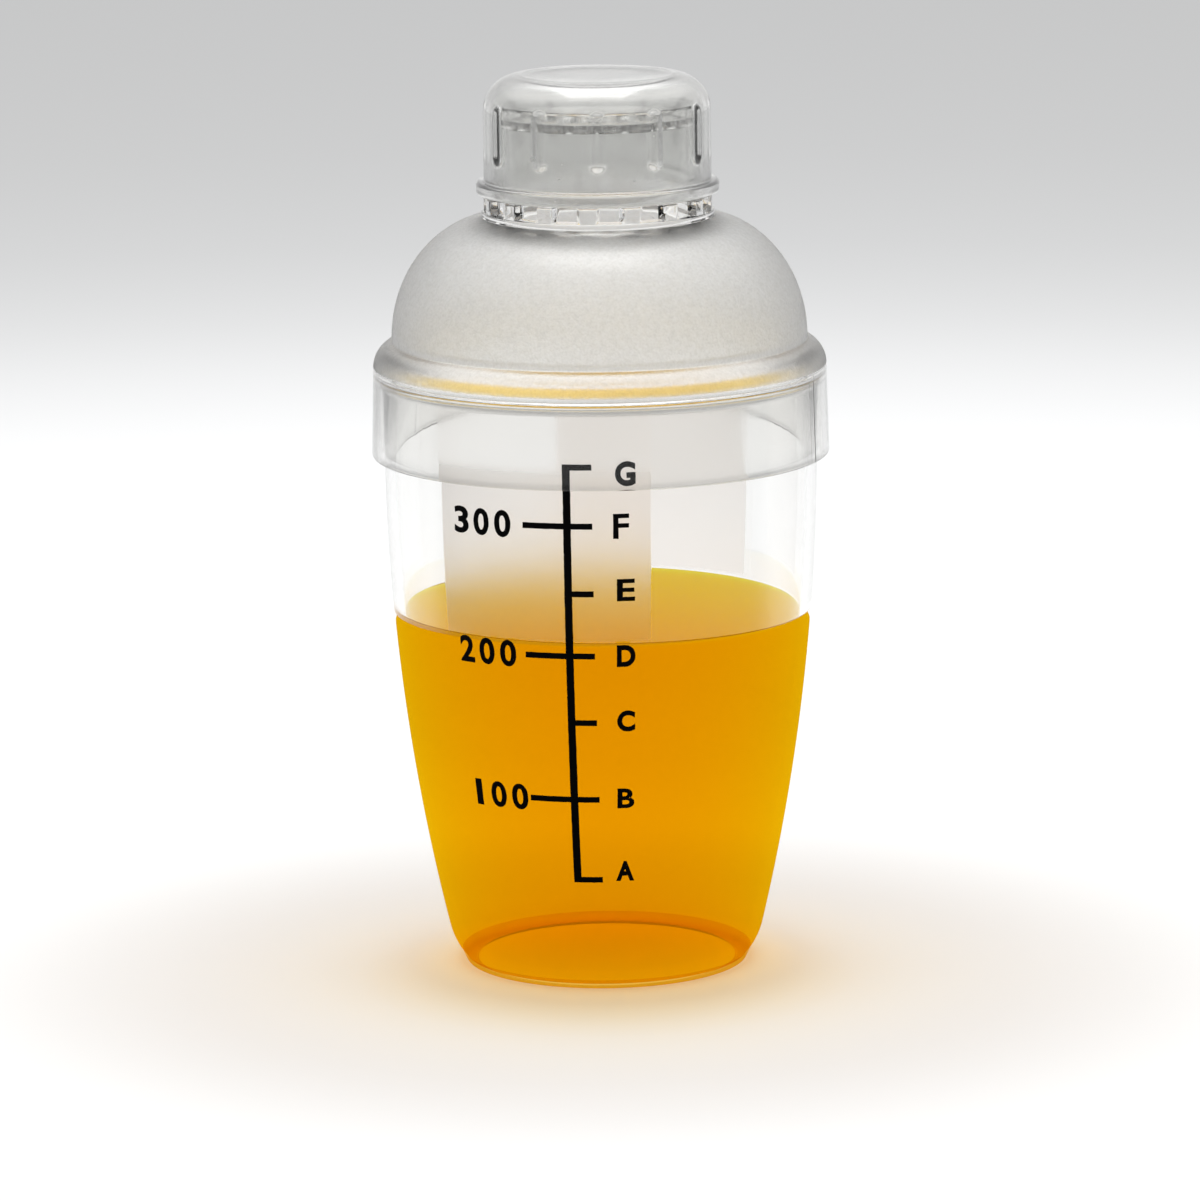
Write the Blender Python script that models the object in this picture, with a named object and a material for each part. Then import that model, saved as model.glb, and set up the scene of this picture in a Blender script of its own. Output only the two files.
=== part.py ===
"""Hand shaker of 350 ml: a tumbler with its drink, a strainer lid pushed over the rim, and a cap over the neck.

Metres, +Z up. The origin is the centre of the foot, on the surface that the tumbler stands on. Every piece is
turned about +Z, and -Y is the front. The lid pulls off the rim along +Z, and the cap pulls off the neck along +Z.
"""

import math

import bmesh
import bpy
from mathutils import Matrix, Vector

MM = 0.001

# Tumbler.
TUMBLER_HEIGHT = 111.0 * MM
RIM_RADIUS = 40.3 * MM
RIM_BAND_HEIGHT = 13.0 * MM
RIM_BAND_DRAFT = 0.2 * MM
HEEL_RADIUS = 29.5 * MM
HEEL_HEIGHT = 7.0 * MM
HEEL_CURVE = 14.0 * MM
TUMBLER_WALL = 2.0 * MM
FLOOR_THICKNESS = 1.7 * MM
FLOOR_FILLET = 5.0 * MM
FOOT_HEIGHT = 1.8 * MM
FOOT_TAPER = 0.85 * MM
FOOT_WIDTH = 2.0 * MM
FOOT_RECESS = 0.7 * MM

# Drink.
DRINK_LEVEL = 67.0 * MM

# Strainer lid.
SKIRT_DEPTH = 15.3 * MM
SKIRT_WALL = 1.35 * MM
SKIRT_FLARE = 0.46 * MM
SHOULDER_WIDTH = 4.35 * MM
SHOULDER_RISE = 4.9 * MM
SHOULDER_FOOT = 1.0 * MM
SHOULDER_STEP = 3.5 * MM
DOME_HEIGHT = 22.7 * MM
LID_WALL = 1.8 * MM
NECK_RADIUS = 19.0 * MM
NECK_HEIGHT = 19.7 * MM
NECK_DRAFT = 0.4 * MM
COLLAR_WIDTH = 2.5 * MM
COLLAR_HEIGHT = 0.95 * MM
LUG_COUNT = 16
LUG_REACH = 2.05 * MM
LUG_HEIGHT = 2.8 * MM
LUG_ANGLE = math.radians(10.0)
LUG_PHASE = math.radians(-5.3)
LUG_ROOT = 0.7 * MM
LUG_FILLET = 0.3 * MM
STRAINER_THICKNESS = 1.6 * MM
STRAINER_DEPTH = 2.0 * MM
HOLE_RADIUS = 1.3 * MM
HOLE_PITCH = 4.2 * MM
HOLE_MARGIN = 1.6 * MM

# Cap.
CAP_HEADROOM = 3.8 * MM
CAP_WALL = 1.6 * MM
CAP_FLANGE_WIDTH = 1.4 * MM
CAP_FLANGE_HEIGHT = 2.5 * MM
CAP_FLANGE_EDGE = 0.6 * MM
CAP_SHOULDER_WIDTH = 6.4 * MM
CAP_SHOULDER_HEIGHT = 6.8 * MM
FLUTE_COUNT = 12
FLUTE_RADIUS = 2.1 * MM
FLUTE_DEPTH = 0.75 * MM
FLUTE_LOW_END = 3.3 * MM
FLUTE_HIGH_END = 3.9 * MM

# Clearances between pieces.
SEAT_GAP = 0.3 * MM
SKIRT_CLEARANCE = 0.3 * MM
CAP_CLEARANCE = 0.4 * MM
DRINK_GAP = 0.3 * MM

EDGE_ROUND = 0.45 * MM
FACETS = 48
CAP_FACETS = 48
HOLE_FACETS = 8
HOLE_TURN = math.radians(11.25)
FLUTE_FACETS = 10

# Heights and radii that follow from the driving dimensions.
FLOOR_TOP = FOOT_RECESS + FLOOR_THICKNESS
BAND_FOOT = TUMBLER_HEIGHT - RIM_BAND_HEIGHT
SEAT_HEIGHT = TUMBLER_HEIGHT + SEAT_GAP
SKIRT_INNER = RIM_RADIUS + SKIRT_CLEARANCE
SKIRT_OUTER = SKIRT_INNER + SKIRT_WALL
SHOULDER_BASE = SEAT_HEIGHT + SHOULDER_FOOT
DOME_RADIUS = SKIRT_OUTER - SHOULDER_STEP
DOME_BASE = SHOULDER_BASE + SHOULDER_RISE + EDGE_ROUND
COLLAR_RADIUS = NECK_RADIUS + COLLAR_WIDTH
NECK_BASE = DOME_BASE + DOME_HEIGHT + COLLAR_HEIGHT
LUG_TOP = NECK_BASE + LUG_HEIGHT
NECK_TOP = NECK_BASE + NECK_HEIGHT
NECK_INNER = NECK_RADIUS - LID_WALL
STRAINER_TOP = NECK_TOP - STRAINER_DEPTH
STRAINER_BOTTOM = STRAINER_TOP - STRAINER_THICKNESS
CAP_BOTTOM = LUG_TOP + SEAT_GAP
CAP_INNER = NECK_RADIUS + CAP_CLEARANCE
CAP_OUTER = CAP_INNER + CAP_WALL
CAP_TOP = NECK_TOP + CAP_HEADROOM + CAP_WALL


def arc(centre, radius, start, end, steps, squash=1.0):
    """Points round an arc in the (radius, height) plane, its height squashed by a factor into an ellipse's."""
    angles = [start + (end - start) * step / steps for step in range(steps + 1)]
    return [
        (centre[0] + radius * math.cos(angle), centre[1] + radius * squash * math.sin(angle))
        for angle in angles
    ]


def rounded(before, corner, after, radius, steps=2):
    """The points of a fillet at a corner between two neighbouring points of a profile."""
    here = Vector(corner)
    back = (Vector(before) - here).normalized()
    ahead = (Vector(after) - here).normalized()
    half_angle = back.angle(ahead) / 2
    centre = here + (back + ahead).normalized() * radius / math.sin(half_angle)
    tangent_length = radius / math.tan(half_angle)
    start = here + back * tangent_length - centre
    end = here + ahead * tangent_length - centre
    turn = start.angle_signed(end)
    return [tuple(centre + Matrix.Rotation(-turn * step / steps, 2) @ start) for step in range(steps + 1)]


class TumblerSide:
    """The outer side: a long arc that is upright at the rim band, and a tighter heel arc tangent to its foot."""

    def __init__(self):
        rise = BAND_FOOT - HEEL_HEIGHT
        swell = RIM_RADIUS - RIM_BAND_DRAFT - HEEL_RADIUS
        self.curve = (rise * rise + swell * swell) / (2 * swell)
        self.centre = (RIM_RADIUS - RIM_BAND_DRAFT - self.curve, BAND_FOOT)
        self.lean = math.asin(rise / self.curve)
        self.heel_centre = (
            HEEL_RADIUS - HEEL_CURVE * math.cos(self.lean),
            HEEL_HEIGHT + HEEL_CURVE * math.sin(self.lean),
        )
        self.foot_lean = math.asin((self.heel_centre[1] - FOOT_HEIGHT) / HEEL_CURVE)

    def points(self, heel_steps=3, side_steps=7):
        """From the top of the foot up to the rim."""
        heel = arc(self.heel_centre, HEEL_CURVE, -self.foot_lean, -self.lean, heel_steps)
        side = arc(self.centre, self.curve, -self.lean, 0, side_steps)
        return heel[:-1] + side + [(RIM_RADIUS, TUMBLER_HEIGHT)]

    def inner_radius(self, height):
        """The inside radius between the heel and the rim band."""
        drop = BAND_FOOT - height
        return self.centre[0] + math.sqrt(self.curve * self.curve - drop * drop) - TUMBLER_WALL


def turned(name, profile, facets):
    """A closed solid turned about +Z from an open profile of (radius, height) points with both ends on the axis."""
    solid = bmesh.new()
    points = [solid.verts.new((radius, 0, height)) for radius, height in profile]
    edges = [solid.edges.new(pair) for pair in zip(points, points[1:])]
    bmesh.ops.spin(
        solid, geom=points + edges, cent=(0, 0, 0), axis=(0, 0, 1), angle=math.tau, steps=facets
    )
    bmesh.ops.remove_doubles(solid, verts=solid.verts, dist=0.001 * MM)
    bmesh.ops.recalc_face_normals(solid, faces=solid.faces)
    return placed(name, solid)


def placed(name, solid):
    """Puts a bmesh into the scene as a named object with smooth round faces and sharp edges."""
    mesh = bpy.data.meshes.new(name)
    solid.to_mesh(mesh)
    solid.free()
    mesh.shade_smooth()
    mesh.set_sharp_from_angle(angle=math.radians(35))
    item = bpy.data.objects.new(name, mesh)
    bpy.context.scene.collection.objects.link(item)
    return item


def cut(item, cutter, name):
    """Takes a cutter's shapes out of an object, and keeps the cutter as a hidden guide."""
    cutter.hide_render = True
    cutter.display_type = "WIRE"
    boolean = item.modifiers.new(name, "BOOLEAN")
    boolean.operation = "DIFFERENCE"
    boolean.object = cutter


def finish(item, colour, roughness, opacity=1.0):
    """Gives an object a moulded material of its own."""
    material = bpy.data.materials.new(item.name)
    material.use_nodes = True
    shader = material.node_tree.nodes["Principled BSDF"]
    shader.inputs["Base Color"].default_value = (*colour, 1)
    shader.inputs["Roughness"].default_value = roughness
    shader.inputs["Metallic"].default_value = 0
    shader.inputs["Alpha"].default_value = opacity
    item.data.materials.append(material)


def make_tumbler(side):
    """The cup: a flared wall, a filleted floor, and a foot ring round a shallow recess."""
    outside = side.points()
    foot_radius = outside[0][0] - FOOT_TAPER
    wall_low = FLOOR_TOP + 2 * FLOOR_FILLET
    wall_steps = 6
    heights = [wall_low + (BAND_FOOT - wall_low) * step / wall_steps for step in range(wall_steps + 1)]
    inside = [(side.inner_radius(height), height) for height in heights]
    floor_corner = (side.inner_radius(FLOOR_TOP), FLOOR_TOP)
    rim_inner = (RIM_RADIUS - TUMBLER_WALL, TUMBLER_HEIGHT)
    rim_outer = outside[-1]
    profile = [(0, FLOOR_TOP)]
    profile += rounded((0, FLOOR_TOP), floor_corner, inside[0], FLOOR_FILLET, 4)
    profile += inside
    profile += rounded(inside[-1], rim_inner, rim_outer, EDGE_ROUND)
    profile += rounded(rim_inner, rim_outer, outside[-2], EDGE_ROUND)
    profile += outside[-2::-1]
    profile += [(foot_radius, 0), (foot_radius - FOOT_WIDTH, 0)]
    profile += [(foot_radius - FOOT_WIDTH - FOOT_RECESS, FOOT_RECESS), (0, FOOT_RECESS)]
    tumbler = turned("tumbler", profile, FACETS)
    finish(tumbler, (0.93, 0.94, 0.95), 0.06, 0.35)


def make_drink(side):
    """The drink fills the cup to its level, a hair clear of the wall and the floor."""
    bottom = FLOOR_TOP + DRINK_GAP
    wall_low = FLOOR_TOP + 2 * FLOOR_FILLET
    wall_steps = 4
    heights = [wall_low + (DRINK_LEVEL - wall_low) * step / wall_steps for step in range(wall_steps + 1)]
    wall = [(side.inner_radius(height) - DRINK_GAP, height) for height in heights]
    corner = (side.inner_radius(bottom) - DRINK_GAP, bottom)
    profile = [(0, bottom)] + rounded((0, bottom), corner, wall[0], FLOOR_FILLET, 4)
    profile += wall + [(0, DRINK_LEVEL)]
    finish(turned("drink", profile, FACETS), (0.80, 0.30, 0.01), 0.05, 0.8)


def lid_inside():
    """The lid's inner profile from the strainer's underside out to the foot of the skirt."""
    under_strainer = (NECK_INNER, STRAINER_BOTTOM)
    dome_top = DOME_BASE + DOME_HEIGHT - LID_WALL
    neck_root = (NECK_INNER, dome_top)
    spread = DOME_RADIUS - COLLAR_RADIUS - LID_WALL
    dome = arc(
        (COLLAR_RADIUS, DOME_BASE),
        spread,
        math.pi / 2,
        0,
        6,
        squash=(DOME_HEIGHT - LID_WALL) / spread,
    )
    seat_inner = (RIM_RADIUS - TUMBLER_WALL, SEAT_HEIGHT)
    seat_outer = (SKIRT_INNER, SEAT_HEIGHT)
    skirt_foot = (SKIRT_INNER + SKIRT_FLARE, SEAT_HEIGHT - SKIRT_DEPTH)
    points = [(0, STRAINER_BOTTOM), under_strainer]
    points += rounded(under_strainer, neck_root, dome[0], LID_WALL)
    points += dome
    points += [(seat_inner[0], SHOULDER_BASE + SHOULDER_RISE / 2), seat_inner, seat_outer, skirt_foot]
    return points


def lid_outside():
    """The lid's outer profile from the foot of the skirt up to the strainer's top."""
    skirt_foot = (SKIRT_OUTER + SKIRT_FLARE, SEAT_HEIGHT - SKIRT_DEPTH)
    skirt_inner_foot = (SKIRT_INNER + SKIRT_FLARE, SEAT_HEIGHT - SKIRT_DEPTH)
    shoulder_centre = (SKIRT_OUTER - SHOULDER_WIDTH, SHOULDER_BASE)
    crease_angle = math.acos((SHOULDER_WIDTH - SHOULDER_STEP) / SHOULDER_WIDTH)
    shoulder = arc(
        shoulder_centre, SHOULDER_WIDTH, 0, crease_angle, 4, squash=SHOULDER_RISE / SHOULDER_WIDTH
    )
    spread = DOME_RADIUS - NECK_RADIUS
    collar_angle = math.acos(COLLAR_WIDTH / spread)
    dome = arc((NECK_RADIUS, DOME_BASE), spread, 0, collar_angle, 9, squash=DOME_HEIGHT / spread)
    collar = (COLLAR_RADIUS, NECK_BASE)
    lug_radius = NECK_RADIUS + LUG_REACH
    rim_outer = (NECK_RADIUS - NECK_DRAFT, NECK_TOP)
    rim_inner = (NECK_INNER, NECK_TOP)
    strainer_edge = (NECK_INNER, STRAINER_TOP)
    points = rounded(skirt_inner_foot, skirt_foot, (SKIRT_OUTER, SEAT_HEIGHT), EDGE_ROUND)
    points += shoulder + dome
    points += [collar, (lug_radius, NECK_BASE)]
    points += [(lug_radius, LUG_TOP), (NECK_RADIUS, LUG_TOP)]
    points += rounded((NECK_RADIUS, LUG_TOP), rim_outer, rim_inner, EDGE_ROUND)
    points += rounded(rim_outer, rim_inner, strainer_edge, EDGE_ROUND)
    points += [strainer_edge, (0, STRAINER_TOP)]
    return points


def lug_pockets():
    """The gaps between the lugs of the ring that the cap lands on."""
    pitch = math.tau / LUG_COUNT
    gap_angle = pitch - LUG_ANGLE
    inner = NECK_RADIUS + LUG_ROOT
    outer = COLLAR_RADIUS + LUG_REACH
    low = NECK_BASE + LUG_FILLET
    high = LUG_TOP + SEAT_GAP / 2
    solid = bmesh.new()
    for index in range(LUG_COUNT):
        middle = LUG_PHASE + pitch * (index + 0.5) - math.pi / 2
        sides = [middle - gap_angle / 2, middle, middle + gap_angle / 2]
        base = [(inner, angle) for angle in sides] + [(outer, angle) for angle in reversed(sides)]
        floor = solid.faces.new(
            [solid.verts.new((radius * math.cos(a), radius * math.sin(a), low)) for radius, a in base]
        )
        raised = bmesh.ops.extrude_face_region(solid, geom=[floor], use_keep_orig=True)["geom"]
        tops = [vert for vert in raised if isinstance(vert, bmesh.types.BMVert)]
        bmesh.ops.translate(solid, vec=(0, 0, high - low), verts=tops)
    bmesh.ops.recalc_face_normals(solid, faces=solid.faces)
    return placed("lug_pockets", solid)


def strainer_holes():
    """Pins in rings of six more each, which pierce the strainer."""
    rings = int((NECK_INNER - HOLE_MARGIN - HOLE_RADIUS) / HOLE_PITCH)
    places = [(0.0, 0.0)]
    for ring in range(1, rings + 1):
        for index in range(6 * ring):
            angle = math.tau * index / (6 * ring) + math.pi / (6 * ring)
            places.append((ring * HOLE_PITCH * math.cos(angle), ring * HOLE_PITCH * math.sin(angle)))
    middle = (STRAINER_TOP + STRAINER_BOTTOM) / 2
    solid = bmesh.new()
    for x, y in places:
        bmesh.ops.create_cone(
            solid,
            cap_ends=True,
            segments=HOLE_FACETS,
            radius1=HOLE_RADIUS,
            radius2=HOLE_RADIUS,
            depth=2 * STRAINER_THICKNESS,
            matrix=Matrix.Translation((x, y, middle)) @ Matrix.Rotation(HOLE_TURN, 4, "Z"),
        )
    return placed("strainer_holes", solid)


def make_strainer_lid():
    """One moulding: skirt, shoulder, dome, lug ring, neck and strainer."""
    lid = turned("strainer_lid", lid_inside() + lid_outside(), FACETS)
    cut(lid, lug_pockets(), "lug gaps")
    cut(lid, strainer_holes(), "strainer holes")
    finish(lid, (0.85, 0.85, 0.84), 0.35, 0.6)


def flute_cutters():
    """Upright rods with round ends, which scoop the grip flutes out of the cap's side."""
    centre_radius = CAP_OUTER + FLUTE_RADIUS - FLUTE_DEPTH
    low = CAP_BOTTOM + CAP_FLANGE_HEIGHT + FLUTE_LOW_END
    high = CAP_TOP - FLUTE_HIGH_END
    rod = arc((0, low + FLUTE_RADIUS), FLUTE_RADIUS, -math.pi / 2, 0, 2)
    rod += arc((0, high - FLUTE_RADIUS), FLUTE_RADIUS, 0, math.pi / 2, 2)
    solid = bmesh.new()
    for index in range(FLUTE_COUNT):
        angle = math.tau * index / FLUTE_COUNT - math.pi / 2
        axis_point = Vector((centre_radius * math.cos(angle), centre_radius * math.sin(angle), 0))
        points = [solid.verts.new(axis_point + Vector((radius, 0, height))) for radius, height in rod]
        edges = [solid.edges.new(pair) for pair in zip(points, points[1:])]
        bmesh.ops.spin(
            solid, geom=points + edges, cent=axis_point, axis=(0, 0, 1), angle=math.tau, steps=FLUTE_FACETS
        )
    bmesh.ops.remove_doubles(solid, verts=solid.verts, dist=0.001 * MM)
    bmesh.ops.recalc_face_normals(solid, faces=solid.faces)
    return placed("flute_cutters", solid)


def make_cap():
    """The cap: a thin cup turned over the neck, with a flange at its mouth and grip flutes round its side."""
    inner_top = CAP_TOP - CAP_WALL
    shoulder_base = CAP_TOP - CAP_SHOULDER_HEIGHT
    shoulder_centre = (CAP_OUTER - CAP_SHOULDER_WIDTH, shoulder_base)
    inner_width = CAP_SHOULDER_WIDTH - CAP_WALL
    inner_squash = (CAP_SHOULDER_HEIGHT - CAP_WALL) / inner_width
    squash = CAP_SHOULDER_HEIGHT / CAP_SHOULDER_WIDTH
    flange_radius = CAP_OUTER + CAP_FLANGE_WIDTH
    flange_top = CAP_BOTTOM + CAP_FLANGE_HEIGHT
    mouth = (CAP_INNER, CAP_BOTTOM)
    low_edge = (flange_radius, CAP_BOTTOM)
    high_edge = (flange_radius, flange_top)
    wall_foot = (CAP_OUTER, flange_top)
    profile = [(0, inner_top)]
    profile += arc(shoulder_centre, inner_width, math.pi / 2, 0, 4, squash=inner_squash)
    profile += [mouth]
    profile += rounded(mouth, low_edge, high_edge, CAP_FLANGE_EDGE)
    profile += rounded(low_edge, high_edge, wall_foot, CAP_FLANGE_EDGE)
    profile += [wall_foot]
    profile += arc(shoulder_centre, CAP_SHOULDER_WIDTH, 0, math.pi / 2, 6, squash=squash)
    profile += [(0, CAP_TOP)]
    cap = turned("cap", profile, CAP_FACETS)
    cut(cap, flute_cutters(), "grip flutes")
    finish(cap, (0.88, 0.88, 0.87), 0.2, 0.5)


def clear_scene():
    for item in list(bpy.data.objects):
        bpy.data.objects.remove(item, do_unlink=True)


def main():
    clear_scene()
    side = TumblerSide()
    make_tumbler(side)
    make_drink(side)
    make_strainer_lid()
    make_cap()


main()
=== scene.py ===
"""Looks of the hand shaker: clear and frosted mouldings, an orange drink and a printed scale.

Metres, +Z up, -Y is the front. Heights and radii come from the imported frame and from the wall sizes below.
"""

import math

import bmesh
import bpy
from mathutils import Matrix, Vector, noise


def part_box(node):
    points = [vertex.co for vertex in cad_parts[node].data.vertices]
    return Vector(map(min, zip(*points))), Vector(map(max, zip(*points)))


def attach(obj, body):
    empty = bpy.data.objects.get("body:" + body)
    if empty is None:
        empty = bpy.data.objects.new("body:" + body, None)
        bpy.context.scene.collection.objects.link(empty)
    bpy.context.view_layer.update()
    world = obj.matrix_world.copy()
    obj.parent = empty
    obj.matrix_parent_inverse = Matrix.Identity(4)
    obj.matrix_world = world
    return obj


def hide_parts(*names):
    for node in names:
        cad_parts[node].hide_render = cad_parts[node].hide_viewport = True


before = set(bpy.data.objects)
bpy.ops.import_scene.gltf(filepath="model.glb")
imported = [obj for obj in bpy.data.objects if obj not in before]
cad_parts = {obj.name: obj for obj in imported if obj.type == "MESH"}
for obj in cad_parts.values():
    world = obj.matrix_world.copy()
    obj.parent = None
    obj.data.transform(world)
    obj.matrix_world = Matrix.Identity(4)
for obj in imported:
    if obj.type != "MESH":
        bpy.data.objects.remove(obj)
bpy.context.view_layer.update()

MM = 0.001

# Outer sizes, read from the frame.
RIM_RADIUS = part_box("tumbler")[1].x
RIM_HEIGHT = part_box("tumbler")[1].z
DRINK_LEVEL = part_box("drink")[1].z
SKIRT_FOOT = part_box("strainer_lid")[0].z
SKIRT_FOOT_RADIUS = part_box("strainer_lid")[1].x
NECK_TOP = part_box("strainer_lid")[1].z
CAP_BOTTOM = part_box("cap")[0].z
CAP_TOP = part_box("cap")[1].z
FLANGE_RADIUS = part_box("cap")[1].x

# Tumbler.
RIM_BAND_HEIGHT = 13.0 * MM
RIM_BAND_DRAFT = 0.2 * MM
HEEL_RADIUS = 29.5 * MM
HEEL_HEIGHT = 7.0 * MM
HEEL_CURVE = 14.0 * MM
TUMBLER_WALL = 2.0 * MM
FLOOR_FILLET = 5.0 * MM
FOOT_HEIGHT = 1.8 * MM
FOOT_TAPER = 0.85 * MM
FOOT_WIDTH = 2.0 * MM
FOOT_RECESS = 0.7 * MM
FOOT_ROUND = 0.35 * MM
RECESS_ROUND = 0.4 * MM
FLOOR_THICKNESS = 1.7 * MM
FLOOR_TOP = FOOT_RECESS + FLOOR_THICKNESS
RIM_ROUND = 0.6 * MM
TUMBLER_STEPS = 256

# Drink. It runs on into the wall and the floor that it wets, so that no clear edge shows behind it.
WALL_OVERLAP = 0.12 * MM
DEEP_OVERLAP = 1.9 * MM
OVERLAP_FADE = 3.0 * MM
DRINK_BOTTOM = FOOT_RECESS + 0.1 * MM
DRINK_WALL_LOW = FOOT_HEIGHT + 1.2 * MM
DRINK_ROUND = 1.0 * MM
MENISCUS_RISE = 0.35 * MM
DRINK_EDGE = DRINK_LEVEL + MENISCUS_RISE
MENISCUS_REACH = 0.9 * MM
MENISCUS_STEPS = 14
SURFACE_STEPS = 10
DRINK_LEAN = math.radians(0.7)
LEAN_BLEND = 8.0 * MM

# Strainer lid.
SEAT_HEIGHT = RIM_HEIGHT + 0.3 * MM
SKIRT_FLARE = 0.46 * MM
SKIRT_WALL = 1.35 * MM
SKIRT_OUTER = SKIRT_FOOT_RADIUS - SKIRT_FLARE
SKIRT_INNER = SKIRT_OUTER - SKIRT_WALL
SHOULDER_WIDTH = 4.35 * MM
SHOULDER_RISE = 4.9 * MM
SHOULDER_BASE = SEAT_HEIGHT + 1.0 * MM
DOME_INSET = 3.5 * MM
DOME_RADIUS = SKIRT_OUTER - DOME_INSET
DOME_BASE = SHOULDER_BASE + SHOULDER_RISE + 0.45 * MM
DOME_HEIGHT = 22.7 * MM
LID_WALL = 1.8 * MM
NECK_RADIUS = 19.0 * MM
NECK_INNER = NECK_RADIUS - LID_WALL
NECK_DRAFT = 0.4 * MM
NECK_BASE = NECK_TOP - 19.7 * MM
NECK_RIM_ROUND = 0.45 * MM
COLLAR_RADIUS = NECK_RADIUS + 2.5 * MM
LUG_COUNT = 16
LUG_REACH = 2.05 * MM
LUG_HEIGHT = 2.8 * MM
LUG_ANGLE = math.radians(10.0)
LUG_PHASE = math.radians(-5.3)
LUG_ROOT = 0.7 * MM
LUG_CORNER = 0.35 * MM
STRAINER_TOP = NECK_TOP - 2.0 * MM
STRAINER_BOTTOM = STRAINER_TOP - 1.6 * MM
HOLE_RADIUS = 1.3 * MM
HOLE_PITCH = 4.2 * MM
HOLE_MARGIN = 1.6 * MM
HOLE_CHAMFER = 0.15 * MM
PARTING_AZIMUTH = math.radians(68.0)
PARTING_HEIGHT = 0.05 * MM
PARTING_WIDTH = 0.16 * MM

THROAT_ROUND = 2.0 * MM
SEAT_ROUND = 0.3 * MM
SKIRT_INNER_ROUND = 0.25 * MM
SKIRT_OUTER_ROUND = 0.5 * MM
CREASE_ROUND = 0.35 * MM
FROST_START = math.radians(5)
# Band of the lid's ledge tinted orange: a painted glow of the drink's light refracted into its frosted
# fillet.
DRINK_GLOW_LOW = SEAT_HEIGHT + 1.0 * MM
DRINK_GLOW_HIGH = SEAT_HEIGHT + 2.4 * MM
LID_STEPS = 384

# Cap.
CAP_WALL = 1.6 * MM
FLANGE_WIDTH = 1.4 * MM
FLANGE_HEIGHT = 2.5 * MM
FLANGE_EDGE = 0.7 * MM
CAP_OUTER = FLANGE_RADIUS - FLANGE_WIDTH
CAP_INNER = CAP_OUTER - CAP_WALL
CAP_SHOULDER_WIDTH = 6.4 * MM
CAP_SHOULDER_HEIGHT = 6.8 * MM
CAP_RIDGE = 0.12 * MM
CAP_RIDGE_WIDTH = 1.6 * MM
MOUTH_ROUND = 0.3 * MM
FLANGE_ROOT = 0.25 * MM
CAP_STEPS = 480
FLUTE_COUNT = 12
FLUTE_RADIUS = 2.1 * MM
FLUTE_DEPTH = 0.75 * MM
FLUTE_SOFTNESS = 0.22 * MM
FLUTE_LOW = CAP_BOTTOM + 5.8 * MM
FLUTE_HIGH = CAP_TOP - 3.9 * MM

# Printed scale. Each mark has its letter, height, the letter's shift and size, its boldness, and its number.
RULE_AZIMUTH = math.radians(-9.05)
RULE_WIDTH = 1.4 * MM
TICK_WIDTH = 1.1 * MM
SHORT_TICK = 3.9 * MM
LONG_TICK = 7.6 * MM
LETTER_AZIMUTH = math.radians(6.1)
NUMBER_AZIMUTH = math.radians(-33.1)
NUMBER_HEIGHT = 5.0 * MM
DIGIT_WIDTH = 3.3 * MM
DIGIT_PITCH = 4.45 * MM
DIGIT_BOLDNESS = 0.03
NARROW_ONE = 0.45
INK_THICKNESS = 0.04 * MM
INK_LIFT = 0.01 * MM
INK_NET = 0.4 * MM
INK_ROUGH_EDGE = 0.035 * MM
INK_JOIN = 0.1 * MM
MARKS = (
    ("A", 22.2 * MM, (0, 1.65 * MM), (3.3 * MM, 3.9 * MM), 0.045, None),
    ("B", 37.8 * MM, (0, 0.2 * MM), (3.1 * MM, 3.8 * MM), 0.03, "100"),
    ("C", 52.5 * MM, (0, 0.3 * MM), (3.3 * MM, 4.0 * MM), 0.045, None),
    ("D", 65.1 * MM, (0, 0), (3.4 * MM, 4.1 * MM), 0.045, "200"),
    ("E", 76.7 * MM, (0, 0.7 * MM), (3.3 * MM, 4.1 * MM), 0.025, None),
    ("F", 89.2 * MM, (-0.8 * MM, 0), (2.9 * MM, 4.6 * MM), 0.02, "300"),
    ("G", 100.1 * MM, (0, -1.2 * MM), (3.7 * MM, 4.5 * MM), 0.045, None),
)

# Frost of the dome: the tones of its pits and of its high spots.
FROST_TONES = ((0.80, 0.80, 0.785), (1.0, 1.0, 0.99))

# Etched panels inside the tumbler: the azimuth of each one's middle, their width, and where they fade out.
PANEL_AZIMUTHS = (math.radians(-17.4), math.radians(162.6))
PANEL_HALF_WIDTH = math.radians(30.6)
PANEL_EDGE = math.radians(0.25)
PANEL_TOP = 99.0 * MM
# The panels' warm tone is painted light of the drink, scattered in the etching.
PANEL_DRINK_GLOW_TONES = ((0.985, 0.985, 0.98), (1.0, 0.94, 0.89))

# Clear finishes: the tint, the roughness where clean and where filmed, and the strength of the ripple.
PLASTIC_IOR = 1.58
WET_IOR = 1.0
CLEAR_FINISHES = {
    "clear_tumbler": ((0.965, 0.965, 0.96), 0.0, 0.03, 0.05),
    "filled_tumbler": ((0.985, 0.985, 0.98), 0.0, 0.03, 0.05),
    # The foot's ring is tinted orange: a painted glow of the drink's light in it.
    "foot_painted_drink_glow": ((0.85, 0.55, 0.04), 0.0, 0.03, 0.05),
    "clear_lid": ((0.97, 0.97, 0.965), 0.01, 0.06, 0.12),
    "lid_skirt": ((0.91, 0.905, 0.89), 0.02, 0.12, 0.12),
    # The ledge is tinted orange: a painted glow of the drink's light seen through it.
    "ledge_painted_drink_glow": ((1.0, 0.55, 0.05), 0.1, 0.3, 0.12),
    "cloudy_cap": ((0.89, 0.89, 0.875), 0.08, 0.15, 0.1),
    "cloudy_cap_inside": ((0.89, 0.89, 0.875), 0.16, 0.26, 0.1),
}

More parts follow.
